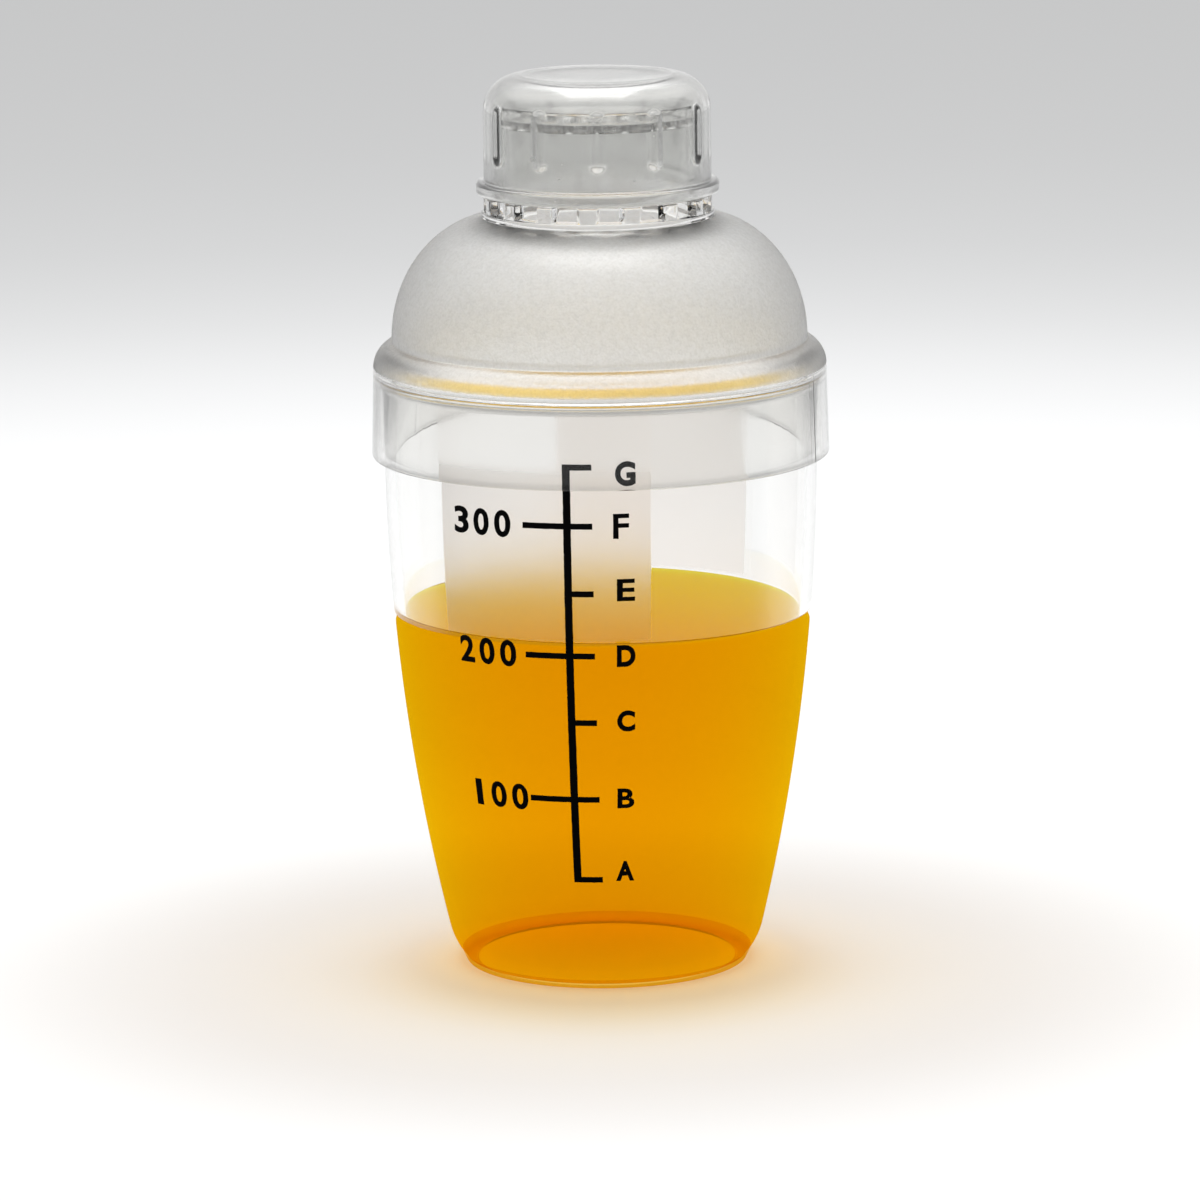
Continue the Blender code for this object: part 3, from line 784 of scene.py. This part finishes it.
def make_printed_scale(side, ink):
    rule, letters, numbers = [], [], []
    half = RULE_WIDTH / 2
    low, high = MARKS[0][1], MARKS[-1][1]
    line = bar_faces((-half, -TICK_WIDTH / 2), (half, high - low + TICK_WIDTH / 2))
    slice_flat(line, INK_NET)
    wrap(line, side, RULE_AZIMUTH, low, INK_ROUGH_EDGE)
    rule.append(line)
    for letter, height, shift, size, boldness, number in MARKS:
        bars = [(half - INK_JOIN, half + SHORT_TICK)]
        if number:
            bars.append((-half - LONG_TICK, -half + INK_JOIN))
        for start, end in bars:
            bar = bar_faces((start, -TICK_WIDTH / 2), (end, TICK_WIDTH / 2))
            slice_flat(bar, INK_NET)
            wrap(bar, side, RULE_AZIMUTH, height, INK_ROUGH_EDGE)
            rule.append(bar)
        glyph = glyph_faces(letter, *size, boldness)
        slice_flat(glyph, INK_NET)
        turn = LETTER_AZIMUTH + shift[0] / side.radius(height)
        wrap(glyph, side, turn, height + shift[1], INK_ROUGH_EDGE)
        letters.append(glyph)
        for index, digit in enumerate(number or ""):
            width = DIGIT_WIDTH * (NARROW_ONE if digit == "1" else 1)
            glyph = glyph_faces(digit, width, NUMBER_HEIGHT, DIGIT_BOLDNESS)
            slice_flat(glyph, INK_NET)
            turn = NUMBER_AZIMUTH + (index - 1) * DIGIT_PITCH / side.radius(height)
            wrap(glyph, side, turn, height, INK_ROUGH_EDGE)
            numbers.append(glyph)
    join_ink("scale_rule", rule, ink)
    join_ink("scale_letters", letters, ink)
    join_ink("scale_numbers", numbers, ink)


# Materials.


def new_material(name):
    """A node material, its tree, and its Principled shader."""
    material = bpy.data.materials.new(name)
    material.use_nodes = True
    tree = material.node_tree
    return material, tree, tree.nodes["Principled BSDF"]


def group_tree(name, inputs, outputs):
    """A shader node group with named float inputs and outputs, and its two end nodes."""
    tree = bpy.data.node_groups.new(name, "ShaderNodeTree")
    for label, value in inputs.items():
        socket = tree.interface.new_socket(label, in_out="INPUT", socket_type="NodeSocketFloat")
        socket.default_value = value
    for label in outputs:
        tree.interface.new_socket(label, in_out="OUTPUT", socket_type="NodeSocketFloat")
    return tree, tree.nodes.new("NodeGroupInput"), tree.nodes.new("NodeGroupOutput")


def math_node(tree, operation, *values):
    node = tree.nodes.new("ShaderNodeMath")
    node.operation = operation
    for socket, value in zip(node.inputs, values):
        if isinstance(value, (int, float)):
            socket.default_value = value
        else:
            tree.links.new(value, socket)
    return node.outputs[0]


def smooth_step(tree, value, low, high):
    node = tree.nodes.new("ShaderNodeMapRange")
    node.interpolation_type = "SMOOTHSTEP"
    tree.links.new(value, node.inputs["Value"])
    node.inputs["From Min"].default_value = low
    node.inputs["From Max"].default_value = high
    return node.outputs["Result"]


def place_group(tree, group, **values):
    node = tree.nodes.new("ShaderNodeGroup")
    node.node_tree = group
    for label, value in values.items():
        node.inputs[label.replace("_", " ")].default_value = value
    return node


def colour_ramp(tree, value, stops):
    """A ramp's colour output. Its stops are (position, colour) pairs in rising order."""
    ramp = tree.nodes.new("ShaderNodeValToRGB")
    tree.links.new(value, ramp.inputs["Fac"])
    elements = ramp.color_ramp.elements
    for index, (position, colour) in enumerate(stops):
        element = elements[index] if index < 2 else elements.new(position)
        element.position, element.color = position, (*colour, 1)
    return ramp


def grain_group():
    """A moulded grain: fine pits and a coarser leathery ripple under them."""
    inputs = {"Scale": 2000.0, "Coarse Share": 0.5}
    tree, start, end = group_tree("moulded grain", inputs, ["Height", "Spots"])
    place = tree.nodes.new("ShaderNodeTexCoord").outputs["Object"]
    fine = tree.nodes.new("ShaderNodeTexNoise")
    coarse = tree.nodes.new("ShaderNodeTexNoise")
    for node in (fine, coarse):
        tree.links.new(place, node.inputs["Vector"])
        node.inputs["Detail"].default_value = 1.5
    tree.links.new(start.outputs["Scale"], fine.inputs["Scale"])
    tree.links.new(math_node(tree, "MULTIPLY", start.outputs["Scale"], 0.45), coarse.inputs["Scale"])
    mixed = tree.nodes.new("ShaderNodeMix")
    tree.links.new(start.outputs["Coarse Share"], mixed.inputs["Factor"])
    tree.links.new(fine.outputs["Fac"], mixed.inputs["A"])
    tree.links.new(coarse.outputs["Fac"], mixed.inputs["B"])
    tree.links.new(mixed.outputs["Result"], end.inputs["Height"])
    tree.links.new(smooth_step(tree, fine.outputs["Fac"], 0.55, 0.75), end.inputs["Spots"])
    return tree


def handling_group():
    """Wear of a washed and handled moulding: a faint film in patches, hair scratches and flow ripple."""
    tree, start, end = group_tree(
        "handling film", {"Clean": 0.01, "Filmed": 0.06, "Scratches": 0.1}, ["Roughness", "Height"]
    )
    place = tree.nodes.new("ShaderNodeTexCoord").outputs["Object"]
    film = tree.nodes.new("ShaderNodeTexNoise")
    film.inputs["Scale"].default_value = 45.0
    film.inputs["Detail"].default_value = 3.0
    tree.links.new(place, film.inputs["Vector"])
    stretched = tree.nodes.new("ShaderNodeMapping")
    stretched.inputs["Scale"].default_value = (1.0, 1.0, 0.06)
    tree.links.new(place, stretched.inputs["Vector"])
    ripple = tree.nodes.new("ShaderNodeTexNoise")
    ripple.inputs["Scale"].default_value = 260.0
    ripple.inputs["Detail"].default_value = 2.0
    tree.links.new(stretched.outputs["Vector"], ripple.inputs["Vector"])
    tilted = tree.nodes.new("ShaderNodeMapping")
    tilted.inputs["Rotation"].default_value = (0.3, 0.4, 0.2)
    tilted.inputs["Scale"].default_value = (0.05, 1.0, 1.0)
    tree.links.new(place, tilted.inputs["Vector"])
    hair = tree.nodes.new("ShaderNodeTexNoise")
    hair.inputs["Scale"].default_value = 1400.0
    tree.links.new(tilted.outputs["Vector"], hair.inputs["Vector"])
    patches = smooth_step(tree, film.outputs["Fac"], 0.42, 0.68)
    scratches = smooth_step(tree, hair.outputs["Fac"], 0.68, 0.76)
    span = math_node(tree, "SUBTRACT", start.outputs["Filmed"], start.outputs["Clean"])
    filmed = math_node(tree, "ADD", start.outputs["Clean"], math_node(tree, "MULTIPLY", patches, span))
    hairs = math_node(tree, "MULTIPLY", scratches, start.outputs["Scratches"])
    tree.links.new(math_node(tree, "ADD", filmed, hairs), end.inputs["Roughness"])
    tree.links.new(ripple.outputs["Fac"], end.inputs["Height"])
    return tree


def panel_group():
    """1 on the etched panels inside the tumbler, above the drink that wets and hides them."""
    tree, start, end = group_tree("etched panels", {"Drink Level": 0.0}, ["Mask"])
    place = tree.nodes.new("ShaderNodeTexCoord").outputs["Object"]
    split = tree.nodes.new("ShaderNodeSeparateXYZ")
    tree.links.new(place, split.inputs[0])
    masks = []
    for azimuth in PANEL_AZIMUTHS:
        along = math_node(tree, "MULTIPLY", split.outputs["X"], math.sin(azimuth))
        along = math_node(tree, "MULTIPLY_ADD", split.outputs["Y"], -math.cos(azimuth), along)
        across = math_node(tree, "MULTIPLY", split.outputs["X"], math.cos(azimuth))
        across = math_node(tree, "MULTIPLY_ADD", split.outputs["Y"], math.sin(azimuth), across)
        turn = math_node(tree, "ABSOLUTE", math_node(tree, "ARCTAN2", across, along))
        masks.append(smooth_step(tree, turn, PANEL_HALF_WIDTH + PANEL_EDGE, PANEL_HALF_WIDTH - PANEL_EDGE))
    either = math_node(tree, "MAXIMUM", *masks)
    above = math_node(tree, "SUBTRACT", split.outputs["Z"], start.outputs["Drink Level"])
    dry = smooth_step(tree, above, 0.0, 0.6 * MM)
    fading = smooth_step(tree, split.outputs["Z"], PANEL_TOP + 2 * MM, PANEL_TOP - 2 * MM)
    dry = math_node(tree, "MULTIPLY", dry, math_node(tree, "MULTIPLY_ADD", fading, 0.7, 0.3))
    tree.links.new(math_node(tree, "MULTIPLY", either, dry), end.inputs["Mask"])
    return tree


def new_plastic(name, colour):
    """A node material set up as clear polycarbonate."""
    material, tree, shader = new_material(name)
    shader.inputs["Base Color"].default_value = (*colour, 1)
    shader.inputs["Transmission Weight"].default_value = 1
    shader.inputs["IOR"].default_value = PLASTIC_IOR
    return material, tree, shader


def clear_plastic(name, handling):
    """Polished clear plastic, with its film, scratches and flow ripple."""
    colour, clean, filmed, ripple = CLEAR_FINISHES[name]
    material, tree, shader = new_plastic(name, colour)
    wear = place_group(tree, handling, Clean=clean, Filmed=filmed, Scratches=0.08)
    bump = tree.nodes.new("ShaderNodeBump")
    bump.inputs["Strength"].default_value = ripple
    bump.inputs["Distance"].default_value = 0.1 * MM
    tree.links.new(wear.outputs["Height"], bump.inputs["Height"])
    tree.links.new(bump.outputs["Normal"], shader.inputs["Normal"])
    tree.links.new(wear.outputs["Roughness"], shader.inputs["Roughness"])
    return material


def wet(shader):
    """Takes away the bend and the gloss of a surface that the drink touches or stands behind."""
    shader.inputs["Specular Tint"].default_value = (0, 0, 0, 1)
    shader.inputs["IOR"].default_value = WET_IOR


def filled_plastic(name, handling):
    """Clear plastic with the drink behind it."""
    material = clear_plastic(name, handling)
    wet(material.node_tree.nodes["Principled BSDF"])
    return material


def wet_inside(handling):
    """The tumbler's inner wall under the drink, which hides its gloss and its etching."""
    material, tree, shader = new_plastic("wet_inner_wall", (0.995, 0.995, 0.99))
    wet(shader)
    wear = place_group(tree, handling, Clean=0.0, Filmed=0.01, Scratches=0.0)
    tree.links.new(wear.outputs["Roughness"], shader.inputs["Roughness"])
    return material


def etched_inside(handling, panels, grain):
    """The tumbler's dry inner wall: polished, with two finely etched panels."""
    material, tree, shader = new_plastic("etched_inner_wall", PANEL_DRINK_GLOW_TONES[0])
    mask = place_group(tree, panels, Drink_Level=DRINK_LEVEL + 0.3 * MM).outputs["Mask"]
    # The panels are tinted warm: painted light of the drink scattered in the etching.
    tone = colour_ramp(tree, mask, zip((0, 1), PANEL_DRINK_GLOW_TONES))
    tree.links.new(tone.outputs["Color"], shader.inputs["Base Color"])
    wear = place_group(tree, handling, Clean=0.0, Filmed=0.02, Scratches=0.0)
    pits = place_group(tree, grain, Scale=2600.0, Coarse_Share=0.4)
    etched = math_node(tree, "MULTIPLY", mask, 0.38)
    tree.links.new(math_node(tree, "ADD", etched, wear.outputs["Roughness"]), shader.inputs["Roughness"])
    bump = tree.nodes.new("ShaderNodeBump")
    bump.inputs["Strength"].default_value = 0.35
    bump.inputs["Distance"].default_value = 0.05 * MM
    tree.links.new(math_node(tree, "MULTIPLY", pits.outputs["Height"], mask), bump.inputs["Height"])
    tree.links.new(bump.outputs["Normal"], shader.inputs["Normal"])
    return material


def frosted_plastic(name, grain, roughness):
    """A moulded frost: a fine satin grain over clear plastic."""
    material, tree, shader = new_plastic(name, (0.97, 0.97, 0.96))
    pits = place_group(tree, grain, Scale=2300.0, Coarse_Share=0.45)
    rough = math_node(tree, "MULTIPLY_ADD", pits.outputs["Spots"], -0.12, roughness)
    tree.links.new(rough, shader.inputs["Roughness"])
    tone = colour_ramp(tree, pits.outputs["Height"], zip((0.35, 0.65), FROST_TONES))
    tree.links.new(tone.outputs["Color"], shader.inputs["Base Color"])
    bump = tree.nodes.new("ShaderNodeBump")
    bump.inputs["Strength"].default_value = 0.9
    bump.inputs["Distance"].default_value = 0.12 * MM
    tree.links.new(pits.outputs["Height"], bump.inputs["Height"])
    tree.links.new(bump.outputs["Normal"], shader.inputs["Normal"])
    return material


def orange_drink():
    """An orange liquid that takes out blue at once and then some green. Its tint is painted lighter towards
    its foot, against the shade under it, and golden at its top, a painted sheen of its lit surface.
    """
    material, tree, shader = new_material("orange_drink")
    split = tree.nodes.new("ShaderNodeSeparateXYZ")
    tree.links.new(tree.nodes.new("ShaderNodeTexCoord").outputs["Object"], split.inputs[0])
    level = math_node(tree, "MULTIPLY_ADD", split.outputs["X"], math.tan(DRINK_LEAN), split.outputs["Z"])
    # Painted light: a lighter tint at the foot and a golden painted sheen at the surface, over the body's
    # own orange.
    heights = ((0, FOOT_PAINTED_LIGHT_TINT), (BODY_LOW, BODY_TINT), (SURFACE_LOW, BODY_TINT), (SURFACE_HIGH, SURFACE_PAINTED_SHEEN_TINT))
    stops = [(height / RIM_HEIGHT, colour) for height, colour in heights]
    tint = colour_ramp(tree, math_node(tree, "DIVIDE", level, RIM_HEIGHT), stops)
    tree.links.new(tint.outputs["Color"], shader.inputs["Base Color"])
    shader.inputs["Transmission Weight"].default_value = 1
    shader.inputs["Roughness"].default_value = 0
    wet(shader)
    absorption = tree.nodes.new("ShaderNodeVolumeAbsorption")
    passed = [1 - taken / ABSORPTION_DENSITY for taken in TAKEN_PER_METRE]
    absorption.inputs["Density"].default_value = ABSORPTION_DENSITY
    absorption.inputs["Color"].default_value = (*passed, 1)
    tree.links.new(absorption.outputs["Volume"], tree.nodes["Material Output"].inputs["Volume"])
    return material


def printed_ink(grain):
    """Dense black screen ink with a slightly uneven sheen."""
    material, tree, shader = new_material("printed_ink")
    shader.inputs["Base Color"].default_value = (0.0015, 0.0015, 0.0017, 1)
    pits = place_group(tree, grain, Scale=3200.0, Coarse_Share=0.3)
    sheen = math_node(tree, "MULTIPLY_ADD", pits.outputs["Height"], 0.25, 0.35)
    tree.links.new(sheen, shader.inputs["Roughness"])
    shader.inputs["Specular IOR Level"].default_value = 0.05
    return material


# Stage, light and camera.


def radial_tones(tree, place, centre, reach, interpolation, tones):
    """Colours by the distance from a centre on the Y axis."""
    offset = tree.nodes.new("ShaderNodeVectorMath")
    offset.operation = "DISTANCE"
    offset.inputs[1].default_value = (0, centre, 0)
    tree.links.new(place, offset.inputs[0])
    share = math_node(tree, "DIVIDE", offset.outputs["Value"], reach)
    ramp = colour_ramp(tree, share, [(radius / reach, colour) for radius, *colour in tones])
    ramp.color_ramp.interpolation = interpolation
    return ramp.outputs["Color"]


def make_floor():
    """A round pale floor with painted light: it turns a soft grey with distance as painted falloff, has a
    painted warm glow and shade ring round the base, glows with a painted pool of light under the drink, and
    shows glossy rays a painted dark reflection in front of the shaker.
    """
    profile = Profile()
    profile.add([(0, 0), (0.3, 0), (1.0, 0), (FLOOR_RADIUS, 0)])
    solid, _ = turned_bmesh(profile, azimuths_of(128))
    material, tree, shader = new_material("studio_floor")
    shader.inputs["Roughness"].default_value = 0.9
    shader.inputs["Specular IOR Level"].default_value = 0
    place = tree.nodes.new("ShaderNodeTexCoord").outputs["Object"]
    # The floor's colour paints light and shade: a warm glow and a shade ring round the base, and a grey
    # falloff with distance.
    tones = radial_tones(tree, place, FLOOR_CENTRE, FLOOR_REACH, "B_SPLINE", FLOOR_PAINTED_LIGHT_TONES)
    # Painted glow: the floor gives off light under the drink, as if lit through it.
    painted_glow = radial_tones(tree, place, 0.0, PAINTED_GLOW_REACH, "EASE", PAINTED_GLOW_TONES)
    tree.links.new(tones, shader.inputs["Base Color"])
    tree.links.new(painted_glow, shader.inputs["Emission Color"])
    shader.inputs["Emission Strength"].default_value = 1
    # Painted dark reflection: glossy rays that aren't seen through the plastic find the floor in front dark.
    path = tree.nodes.new("ShaderNodeLightPath")
    dark = tree.nodes.new("ShaderNodeBsdfDiffuse")
    dark.inputs["Color"].default_value = (PAINTED_REFLECTION_TONE, PAINTED_REFLECTION_TONE, PAINTED_REFLECTION_TONE, 1)
    seen_through = math_node(tree, "SUBTRACT", 1.0, path.outputs["Is Transmission Ray"])
    painted_reflection_share = math_node(tree, "MULTIPLY", path.outputs["Is Glossy Ray"], seen_through)
    split = tree.nodes.new("ShaderNodeSeparateXYZ")
    tree.links.new(place, split.inputs[0])
    in_front = smooth_step(tree, split.outputs["Y"], *PAINTED_REFLECTION_FROM)
    painted_reflection_share = math_node(tree, "MULTIPLY", painted_reflection_share, in_front)
    mix = tree.nodes.new("ShaderNodeMixShader")
    tree.links.new(painted_reflection_share, mix.inputs["Fac"])
    tree.links.new(shader.outputs[0], mix.inputs[1])
    tree.links.new(dark.outputs[0], mix.inputs[2])
    tree.links.new(mix.outputs[0], tree.nodes["Material Output"].inputs["Surface"])
    floor = piece_from("studio_floor", solid, material)


def make_world():
    """A pale roof over walls that are pale behind the shaker and dim in front of it."""
    world = bpy.data.worlds.new("studio")
    bpy.context.scene.world = world
    world.use_nodes = True
    tree = world.node_tree
    background = tree.nodes["Background"]
    split = tree.nodes.new("ShaderNodeSeparateXYZ")
    tree.links.new(tree.nodes.new("ShaderNodeTexCoord").outputs["Generated"], split.inputs[0])
    overhead = smooth_step(tree, split.outputs["Z"], *ROOF_EDGES)
    behind = smooth_step(tree, split.outputs["Y"], *BACK_EDGES)
    walls = math_node(tree, "MULTIPLY_ADD", behind, BACK_TONE - FRONT_TONE, FRONT_TONE)
    to_roof = math_node(tree, "SUBTRACT", ROOF_TONE, walls)
    strength = math_node(tree, "MULTIPLY_ADD", overhead, to_roof, walls)
    tree.links.new(strength, background.inputs["Strength"])
    background.inputs["Color"].default_value = (1, 1, 1, 1)


def make_softbox():
    light = bpy.data.lights.new("overhead_softbox", "AREA")
    light.shape = "RECTANGLE"
    light.size, light.size_y = SOFTBOX_SIZE, SOFTBOX_SIZE
    light.energy = SOFTBOX_POWER
    holder = bpy.data.objects.new("overhead_softbox", light)
    holder.location = SOFTBOX_PLACE
    aim = Vector(SOFTBOX_TARGET) - Vector(SOFTBOX_PLACE)
    holder.rotation_euler = aim.to_track_quat("-Z", "Y").to_euler()
    bpy.context.scene.collection.objects.link(holder)


def make_camera():
    camera = bpy.data.cameras.new("camera")
    camera.lens = CAMERA_LENS
    camera.sensor_width = CAMERA_SENSOR
    camera.clip_start = 0.05
    camera.clip_end = 20
    holder = bpy.data.objects.new("camera", camera)
    pitch = Matrix.Rotation(math.pi / 2 - CAMERA_PITCH, 4, "X")
    roll = Matrix.Rotation(CAMERA_ROLL, 4, "Z")
    place = Matrix.Translation((CAMERA_OFFSET, -CAMERA_DISTANCE, CAMERA_HEIGHT))
    holder.matrix_world = place @ pitch @ roll.inverted()
    bpy.context.scene.collection.objects.link(holder)
    bpy.context.scene.camera = holder


def main():
    grain = grain_group()
    handling = handling_group()
    panels = panel_group()
    side = TumblerSide()
    make_tumbler(
        side,
        clear_plastic("clear_tumbler", handling),
        filled_plastic("filled_tumbler", handling),
        etched_inside(handling, panels, grain),
        wet_inside(handling),
        filled_plastic("foot_painted_drink_glow", handling),
    )
    make_drink(side, orange_drink())
    make_strainer_lid(
        clear_plastic("clear_lid", handling),
        frosted_plastic("frosted_dome", grain, 0.42),
        clear_plastic("ledge_painted_drink_glow", handling),
        clear_plastic("lid_skirt", handling),
    )
    make_cap(clear_plastic("cloudy_cap", handling), clear_plastic("cloudy_cap_inside", handling))
    make_printed_scale(side, printed_ink(grain))
    make_floor()
    make_world()
    make_softbox()
    make_camera()
    bpy.context.scene.view_settings.view_transform = "Standard"


main()
